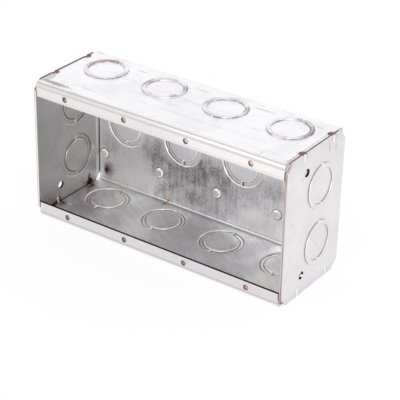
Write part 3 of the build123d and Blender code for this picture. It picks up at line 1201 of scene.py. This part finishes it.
def zinc_outside(f):
    """Bright galvanised sheet with faint bloom, rolling streaks, scratches, rubbed rings with painted shade,
    weld heat, and painted light on the lips, bends and ribs.
    """
    bloom = f.mask("Zinc bloom", Scale=0.035, Amount=0.42)
    streaks = f.mask("Rolling streaks", (0.05, 1.1, 1.1), Scale=0.8, Sharpness=0.14)
    lines = partial(f.mask, "Handling scratches", Width=0.016)
    long_lines = lines((0.02, 0.25, 0.25), (0.0, 0.05, 0.10), Amount=0.8)
    slant_lines = lines((0.04, 0.35, 0.35), (0.0, 0.5, -0.6), Amount=0.7)
    plate_lines = lines((0.30, 0.03, 0.30), (0.9, 0.0, 0.0), Amount=0.45)
    rings = f.effect("Knockout rings")
    folds = f.effect("Fold lines", Width=0.9)
    heat = f.effect("Weld heat", Reach=0.85)
    x, y, z = f.axes(f.spot)
    on_plate = f.rise(f.size(x), plate_face - 0.1, plate_face)
    on_front = f.fade(y, -31.0, -30.0)
    on_top = f.rise(z, 95.4, 96.2)
    scratches = f.choose(on_plate, f.most(long_lines, slant_lines), plate_lines)
    f.blend(bloom, "zinc", "bloom")
    f.paint("bloom", streaks, 0.12)
    f.paint("scuff_and_shade", scratches, 0.40)
    # Lips: lilac painted shade on the lower lip, duller towards the left, and a painted highlight on the
    # upper lip's right half
    f.paint("lilac_shade", on_front, f.fade(z, 10.0, 12.0), 0.75)
    f.paint("bloom", on_front, f.fade(x, -80.0, 50.0, 0.35))
    f.paint("burnished_and_highlight", on_front, f.rise(x, 0.0, 50.0, 0.7), f.rise(z, 80.0, 84.0))
    # Bends: a painted reflection on the front bend, grey painted shade turning to a painted highlight towards
    # the right
    painted_highlight = f.times(f.rise(x, -70.0, 60.0), folds["Shine"])
    bend_reflection = f.mix(painted_highlight, f.colour("bend_shade"), f.colour("burnished_and_highlight"))
    f.tone = f.mix(f.times(folds["Nose"], 0.9), f.tone, bend_reflection)
    f.paint("scuff_and_shade", folds["Crease"], f.between(y, -10.0, 10.0, 0.55, 0.1))
    f.paint("browned_and_highlight", folds["Lips"], 0.50)
    f.paint("bloom", on_front, f.fade(f.off(z, 87.0), 0.8, 1.6, 0.5))
    # Rings of the top: mottled rub marks and painted shade on the raised rings
    rubbed = f.between(f.noise_here(0.16, 4.0, 0.6), 0.40, 0.62, 0.02, 0.24)
    f.paint("scuff_and_shade", f.plus(rubbed, f.times(rings["Edges"], 0.10)), rings["Band"], on_top)
    flat = f.tone
    f.paint_marks(ring_scuff_and_shade_marks)
    on_ring = f.times(rings["Band"], f.between(rings["Edges"], 0.0, 1.0, 0.60, 1.0))
    f.tone = f.mix(on_ring, flat, f.tone)
    f.paint_marks(outside_marks)
    # Weld joints and end plates, with lilac painted shade along the plates' bottom and top and a painted
    # highlight on the ribs
    f.paint("straw", heat["Tint"], 0.42)
    f.paint("lilac_shade", f.most(f.fade(z, 0.8, 9.0, 0.55), f.rise(z, 86.0, 96.0, 0.35)), on_plate)
    f.paint("burnished_and_highlight", heat["Ribs"], on_plate)
    burnt = f.times(heat["Scale"], f.math("LESS_THAN", f.size(x), plate_face - 0.02), 0.85)
    f.paint("edge_brown_and_shade", burnt)
    gloss = f.between(f.plus(bloom, f.times(streaks, 0.25)), 0.0, 1.0, 0.36, 0.54)
    gloss = f.choose(heat["Ribs"], f.choose(folds["Nose"], gloss, 0.60), 0.15)
    grain = f.noise_here(1.6, 3.0, 0.6)
    height = f.plus(f.times(grain, 0.5), f.times(streaks, 0.35), f.times(scratches, -0.7))
    f.close(f.rest(burnt), gloss, height, 0.12, 0.05)


def zinc_inside(f):
    """Duller sheet inside the box, with a dark blotchy film and upright streaks on the back, painted shade on
    the floor, the end plates and the inner bends, and painted light at the right end.
    """
    bloom = f.mask("Zinc bloom", Scale=0.05, Amount=0.8)
    film = f.mask("Zinc bloom", (1.0, 1.0, 0.4), Scale=0.07, Amount=1.0)
    streaks = f.mask("Rolling streaks", (0.8, 0.8, 0.05), Scale=0.6, Sharpness=0.10)
    drips = f.mask("Rolling streaks", (1.0, 1.0, 0.22), Scale=0.36, Sharpness=0.13)
    brush = f.mask("Rolling streaks", (0.10, 0.9, 0.9), (0.0, 0.0, 0.6), Scale=0.6, Sharpness=0.12)
    scratches = f.mask("Handling scratches", (0.30, 0.30, 0.03), (0.4, 0.4, 0.0), Width=0.02, Amount=0.8)
    specks = f.mask("Specks", Scale=0.16, Size=0.07, Share=0.10)
    rings = f.effect("Knockout rings")
    folds = f.effect("Fold lines", Width=0.45)
    heat = f.effect("Weld heat", Reach=0.95)
    x, y, z = f.axes(f.spot)
    on_back = f.rise(y, 26.0, 29.0)
    on_floor = f.fade(z, 3.5, 5.0)
    on_plate = f.rise(f.size(x), plate_face - 0.2, plate_face - 0.05)
    grain = f.noise_here(0.9, 4.0, 0.65)
    f.blend(bloom, "inner_zinc_and_light", "patina_and_shade")
    f.paint("patina_and_shade", f.rise(grain, 0.42, 0.66, 0.35))
    # Painted shade inside the end plates, strong on the left plate and light on the right
    f.paint("plate_shade", on_plate, f.between(x, -1.0, 1.0, 0.9, 0.35))
    # Film on the back, and painted shade on the floor
    f.paint("soot_and_shade", film, on_back, 0.14)
    f.paint("soot_and_shade", streaks, on_back, 0.12)
    fine = f.rise(f.noise_here(1.1, 3.0, 0.7), 0.38, 0.66)
    stained = f.plus(f.times(drips, 0.25), f.times(fine, 0.45), f.times(f.plus(streaks, film), 0.15))
    off_rings = f.rest(f.times(f.most(rings["Disc"], rings["Band"]), 0.75))
    for place, size, strength in film_areas:
        area = f.mask("Mark", Place=place, Size=size, Ragged=0.7, Grain=0.16, Core=0.1)
        share = f.between(stained, 0.15, 0.85, 0.40 * strength, 1.65 * strength)
        f.paint("soot_and_shade", f.math("MINIMUM", f.times(area, off_rings, share), 0.95))
    for place, size, strength in floor_shade_areas:
        f.paint("soot_and_shade", f.mask("Mark", Place=place, Size=size, Ragged=0.4, Grain=0.08, Core=0.0), strength)
    # Painted light on the right end of the floor and the back
    painted_light_floor = f.times(on_floor, f.rise(x, 56.0, 64.0, 0.9))
    painted_light_back = f.times(on_back, f.rise(x, 25.0, 65.0, 0.25), f.between(z, 20.0, 34.0, 1.0, 0.2))
    f.paint("burnished_and_highlight", f.most(painted_light_floor, painted_light_back))
    # Fine wear all over
    f.paint("soot_and_shade", brush, f.choose(on_back, 0.15, 0.08))
    f.paint("soot_and_shade", scratches, 0.25)
    f.paint("soot_and_shade", specks, 0.5)
    f.paint("disc_lilac", rings["Disc"], on_back, 0.6)
    f.paint("disc_lilac", rings["Band"], on_back, 0.4)
    # Bends, with painted shade in their inner corners and over their reflection, and seams at the end plates
    # with a painted highlight strip beside the back seam
    f.paint("soot_and_shade", f.most(folds["Flats"], folds["Lips"]), 0.65)
    f.paint("patina_and_shade", folds["Bends"], 0.60)
    f.paint("inner_zinc_and_light", f.rise(y, 25.5, 27.0), f.fade(y, 28.4, 29.0), on_plate, 0.55)
    f.paint("edge_rust", f.rise(y, 29.0, 29.5), on_plate, 0.9)
    f.paint("edge_brown_and_shade", f.fade(z, 2.7, 3.0), on_plate, 0.8)
    lip_gap = f.times(f.rise(f.off(z, middle_height), 37.2, 38.0), f.fade(y, -30.9, -30.4))
    f.paint("edge_brown_and_shade", lip_gap, on_plate, 0.9)
    # Rims and brown lines of the knockouts and pry-outs: burnished rims with painted highlight, a painted
    # highlight on the pry-outs' right side, and painted shade at the foot of the walls
    rims = f.times(f.most(rings["Rims"], rings["Slugs"]), f.rest(f.times(on_plate, 0.85)))
    f.paint("burnished_and_highlight", rims, 0.85)
    f.paint("edge_brown_and_shade", rings["Feet"], f.between(f.noise_here(0.22, 3.0, 0.6), 0.35, 0.6, 0.70, 1.0))
    # Weld joints, with the rib crowns lightened as rubbed metal and painted highlight
    f.paint("straw", heat["Tint"], 0.45)
    f.paint("scale", heat["Scale"], 0.92)
    crown_wear_and_highlight = f.times(heat["Ribs"], f.rise(f.noise_here(0.5, 3.0, 0.6), 0.38, 0.50))
    f.paint("burnished_and_highlight", crown_wear_and_highlight)
    oxide = f.most(f.paint_marks(inside_marks), f.times(heat["Scale"], 0.9))
    # Chalky zinc, which scatters light as well as mirroring it
    left_chalk = f.times(on_back, f.fade(x, -60.0, -35.0, 0.30))
    right_chalk = f.times(on_floor, f.between(x, 56.0, 66.0, 0.05, 0.95))
    chalk = f.most(left_chalk, right_chalk, f.times(rims, 0.8))
    dull = f.choose(f.most(rims, crown_wear_and_highlight), f.between(bloom, 0.0, 1.0, 0.34, 0.50), 0.15)
    height = f.plus(f.times(grain, 0.5), f.times(brush, 0.4))
    f.close(f.rest(f.most(oxide, chalk)), dull, height, 0.14, 0.05)


def torn_steel(f):
    """Fine and wide variation of bare steel."""
    return f.noise_here(0.9, 4.0, 0.65), f.noise_here(0.12, 3.0, 0.6)


def close_steel(f, oxide, torn):
    """Ends a finish of bare steel, which is burnt at the welds."""
    burnt = f.times(f.effect("Weld heat", Reach=0.85)["Scale"], 0.8)
    f.paint("edge_brown_and_shade", burnt)
    f.close(f.rest(f.most(oxide, burnt)), f.between(torn, 0.3, 0.7, 0.34, 0.56), torn, 0.3, 0.08)


def cut_edge(f):
    """Pale steel on the cut edges, brown at seams and in holes, rusty on the lips' edges, and a painted glint
    in a plate hole.
    """
    torn, patches = torn_steel(f)
    holes = f.effect("Knockout rings")["Holes"]
    spot = f.axes(f.spot)
    x, z = spot["X"], spot["Z"]
    facing = f.axes(f.node("ShaderNodeNewGeometry").outputs["Normal"])
    out = f.minus(f.size(x), plate_face)
    from_middle = f.off(z, middle_height)
    on_plate = f.math("GREATER_THAN", out, -0.1)
    on_left = f.times(on_plate, f.math("LESS_THAN", x, 0.0))
    on_right = f.minus(on_plate, on_left)
    forward = f.fade(facing["Y"], -0.75, -0.30)
    upward = f.rise(facing["Z"], 0.30, 0.75)
    front_left = f.times(forward, on_left)
    front_right = f.times(forward, on_right)
    top_left = f.times(upward, on_left)
    f.blend(f.rise(patches, 0.35, 0.65, 0.3), "cut_edge", "browned_and_highlight")
    # Front edges of the plates
    f.paint("burnished_and_highlight", front_left, 0.95)
    f.paint("browned_and_highlight", front_left, f.rise(out, 1.0, 1.2, 0.95))
    f.paint("soot_and_shade", front_left, f.fade(out, 0.15, 0.35, 0.7))
    f.paint("browned_and_highlight", front_right, 0.8)
    halves = f.mix(f.rise(out, 0.6, 0.8), f.colour("burnished_and_highlight"), f.colour("edge_brown_and_shade"))
    f.tone = f.mix(f.times(front_right, f.fade(z, 25.0, 60.0, 0.4)), f.tone, halves)
    f.paint("bloom", upward, on_right)
    # Brown seams, lip ends and corners
    seam = f.times(f.fade(f.off(out, 0.2), 0.40, 0.70, 0.95), f.rest(f.times(forward, on_plate)),
                   f.between(f.size(facing["X"]), 0.6, 0.9, 1.0, 0.15))
    lip_end = f.times(f.rise(out, -0.9, -0.6, 0.7), f.rest(on_plate), f.fade(from_middle, 42.0, 43.5))
    corners = f.times(front_right, f.rise(from_middle, 30.0, 40.0, 0.4))
    brown = f.most(seam, lip_end, corners, top_left)
    f.paint("edge_brown_and_shade", brown)
    f.paint("soot_and_shade", top_left, 0.45)
    # Rust on the lips' edges and in the plates' holes
    lip_edge = f.times(f.rise(facing["Z"], 0.05, 0.35), f.between(patches, 0.22, 0.40, 0.85, 1.0),
                       f.math("LESS_THAN", out, -0.3))
    f.paint("edge_brown_and_shade", holes)
    rusty = f.most(lip_edge, f.times(holes, on_plate))
    f.paint("edge_rust", rusty)
    # Painted highlight: a glint in the right plate's lower hole.
    painted_glint = f.mask("Mark", Place=(93.2, -8.6, 12.5), Size=(1.5, 1.1, 1.0), Ragged=0.3)
    f.paint("burnished_and_highlight", painted_glint)
    oxide = f.most(rusty, holes, f.times(brown, 0.8))
    close_steel(f, f.math("SUBTRACT", oxide, painted_glint, clamp=True), torn)


def sheared_wall(f):
    """Torn steel on the half-sheared walls, bright in patches, and brown on the left plate and pry-outs."""
    torn, patches = torn_steel(f)
    slug = f.effect("Knockout rings")["Walls"]
    spot = f.axes(f.spot)
    x, z = spot["X"], spot["Z"]
    on_plate = f.rise(f.size(x), plate_face - 0.4, plate_face - 0.1)
    on_left = f.times(on_plate, f.math("LESS_THAN", x, 0.0))
    on_right = f.minus(on_plate, on_left)
    bare = f.rise(f.plus(f.times(patches, 0.75), f.times(torn, 0.25)), 0.40, 0.56)
    shown = f.times(bare, f.rest(on_left), f.choose(on_right, 1.0, 0.15))
    pale = f.mix(f.most(f.rise(z, 90.0, 94.0), on_plate), f.colour("burnished_and_highlight"), f.colour("bloom"))
    f.tone = f.mix(shown, f.colour("sheared"), pale)
    f.paint("edge_brown_and_shade", on_left, 0.8)
    f.paint("edge_brown_and_shade", slug)
    oxide = f.most(f.times(f.rest(bare), 0.5), f.times(on_plate, 0.75), slug)
    close_steel(f, oxide, torn)


def thread_steel(f):
    """Steel of the threads, with a pale band in the middle of the sheet as painted highlight, brown away from
    it.
    """
    torn = torn_steel(f)[0]
    sheet_middle = wrapper_low.y / MM + 0.8
    oxide = f.rise(f.off(f.axes(f.spot)["Y"], sheet_middle), 0.04, 0.13)
    f.blend(oxide, "browned_and_highlight", "edge_brown_and_shade")
    close_steel(f, oxide, torn)


def weld_metal(f):
    """Weld metal: bright lumps in a brown and black crust."""
    lumps = f.noise_here(1.3, 4.0, 0.6)
    z = f.axes(f.spot)["Z"]
    inside = f.times(f.rise(z, 4.0, 4.6), f.fade(z, 92.2, 92.8), f.rise(lumps, 0.38, 0.46))
    bare = f.most(f.rise(lumps, 0.50, 0.58), inside)
    f.blend(f.rise(f.noise_here(0.8, 3.0, 0.6), 0.50, 0.58), "edge_brown_and_shade", "scale")
    f.paint("weld", bare)
    f.close(bare, f.between(bare, 0.0, 1.0, 0.6, 0.28), lumps, 0.4, 0.1)


finish_makers = {
    "zinc_outside": zinc_outside,
    "zinc_inside": zinc_inside,
    "cut_edge": cut_edge,
    "sheared_wall": sheared_wall,
    "thread_steel": thread_steel,
    "weld_metal": weld_metal,
}


def finish(context, name):
    """The material of a finish, made when it is first asked for."""
    if name not in bpy.data.materials:
        finish_makers[name](Finish(name, context.scene.finish_colours))
    return bpy.data.materials[name]


# Stage

def seen_directly(t):
    """1 for rays from the camera and those that metal or glass sends on, and 0 for light on things."""
    rays = t.node("ShaderNodeLightPath").outputs
    return t.most(rays["Is Camera Ray"], rays["Is Glossy Ray"], rays["Is Transmission Ray"])


class WALLBOX_OT_stage(bpy.types.Operator):
    """Make the pale floor, the lamps and the camera"""

    bl_idname = "wallbox.stage"
    bl_label = "Stage"

    def execute(self, context):
        stage = context.scene.stage_settings
        self.floor()
        self.light(stage)
        self.camera(context, stage)
        context.scene.view_settings.view_transform = "Standard"
        return {"FINISHED"}

    def floor(self):
        """A wide floor that glows white when it is seen, and still takes a faint shadow."""
        reach = 3.0
        glow_share = 0.88
        corners = [(-reach, -reach), (reach, -reach), (reach, reach), (-reach, reach)]
        mesh = bpy.data.meshes.new("floor")
        mesh.from_pydata([(x, y, cad_low.z) for x, y in corners], [], [(0, 1, 2, 3)])
        floor = bpy.data.objects.new("floor", mesh)
        bpy.context.scene.collection.objects.link(floor)
        material = bpy.data.materials.new("pale_floor")
        material.use_nodes = True
        material.node_tree.nodes.clear()
        t = Tree(material.node_tree)
        lit = t.node("ShaderNodeBsdfDiffuse", {"Color": (0.95, 0.95, 0.95)}).outputs[0]
        glow = t.node("ShaderNodeEmission", {"Color": (1.0, 1.0, 1.0), "Strength": 1.0}).outputs[0]
        both = t.node("ShaderNodeMixShader", {0: t.times(seen_directly(t), glow_share), 1: lit, 2: glow})
        t.node("ShaderNodeOutputMaterial", {"Surface": both.outputs[0]})
        mesh.materials.append(material)

    def light(self, stage):
        """Light from all round before a white backdrop, three softboxes and a narrow spot into the box."""
        world = bpy.data.worlds.new("studio")
        world.use_nodes = True
        world.node_tree.nodes.clear()
        t = Tree(world.node_tree)
        white = (1.0, 1.0, 1.0)
        fill = t.node("ShaderNodeBackground", {"Color": white, "Strength": stage.fill}).outputs[0]
        backdrop = t.node("ShaderNodeBackground", {"Color": white, "Strength": 1.0}).outputs[0]
        both = t.node("ShaderNodeMixShader", {0: seen_directly(t), 1: fill, 2: backdrop})
        t.node("ShaderNodeOutputWorld", {"Surface": both.outputs[0]})
        bpy.context.scene.world = world
        box = (0.0, 0.0, 0.05)
        right_end = (0.100, -0.010, 0.0)
        self.lamp("softbox_behind", "AREA", stage.key_power, (-1.04, 1.48, 0.96), box, size=1.2,
                  color=(0.80, 0.92, 1.0))
        self.lamp("softbox_left", "AREA", stage.left_power, (-0.75, -1.05, 0.20), box, size=0.6)
        self.lamp("softbox_front", "AREA", stage.front_power, (0.85, -1.05, 0.40), box, size=0.7)
        self.lamp("spot_inside", "SPOT", stage.spot_power, (-0.35, -0.80, 0.75), right_end,
                  spot_size=math.radians(6.0), spot_blend=1.0, shadow_soft_size=0.06)

    def lamp(self, name, kind, watts, place, aim, **settings):
        """Puts up one lamp that points at its aim."""
        lamp = bpy.data.lights.new(name, kind)
        lamp.energy = watts
        for setting, value in settings.items():
            setattr(lamp, setting, value)
        stand = bpy.data.objects.new(name, lamp)
        stand.location = place
        stand.rotation_euler = (Vector(aim) - stand.location).to_track_quat("-Z", "Y").to_euler()
        bpy.context.scene.collection.objects.link(stand)

    def camera(self, context, stage):
        lens = bpy.data.cameras.new("camera")
        lens.lens = stage.lens
        lens.sensor_width = 36.0
        lens.clip_start = 0.01
        camera = bpy.data.objects.new("camera", lens)
        eye = Vector(stage.eye)
        straight = (Vector(stage.aim) - eye).to_track_quat("-Z", "Y").to_matrix()
        turned = straight @ Matrix.Rotation(stage.roll, 3, "Z")
        camera.matrix_world = Matrix.Translation(eye) @ turned.to_4x4()
        bpy.context.scene.collection.objects.link(camera)
        context.scene.camera = camera


class WALLBOX_PT_panel(bpy.types.Panel):
    """Lists the settings and the pieces of the box"""

    bl_label = "Four-Gang Wall Box"
    bl_idname = "WALLBOX_PT_panel"
    bl_space_type = "VIEW_3D"
    bl_region_type = "UI"
    bl_category = "Wall Box"

    def draw(self, context):
        for name in settings:
            box = self.layout.box()
            group = getattr(context.scene, name)
            for prop in group.bl_rna.properties:
                if not prop.is_readonly and prop.identifier != "name":
                    box.prop(group, prop.identifier)
        for operator in operators:
            self.layout.operator(operator.bl_idname)


settings = {
    "sheet_sizes": SheetSizes,
    "knockout_sizes": KnockoutSizes,
    "plate_sizes": PlateSizes,
    "finish_colours": FinishColours,
    "stage_settings": StageSettings,
}
operators = [
    WALLBOX_OT_finishes,
    WALLBOX_OT_body_wrapper,
    WALLBOX_OT_end_plates,
    WALLBOX_OT_weld_beads,
    WALLBOX_OT_hole_threads,
    WALLBOX_OT_stage,
]


def register():
    for made in [*settings.values(), *operators, WALLBOX_PT_panel]:
        bpy.utils.register_class(made)
    for name, group in settings.items():
        setattr(bpy.types.Scene, name, PointerProperty(type=group))


def unregister():
    for name in settings:
        delattr(bpy.types.Scene, name)
    for made in [WALLBOX_PT_panel, *operators[::-1], *reversed(settings.values())]:
        bpy.utils.unregister_class(made)


def main():
    """Makes the box and its stage."""
    register()
    bpy.ops.wallbox.finishes()
    bpy.ops.wallbox.body_wrapper()
    bpy.ops.wallbox.end_plates()
    bpy.ops.wallbox.weld_beads()
    bpy.ops.wallbox.hole_threads()
    bpy.ops.wallbox.stage()


if __name__ == "__main__":
    main()
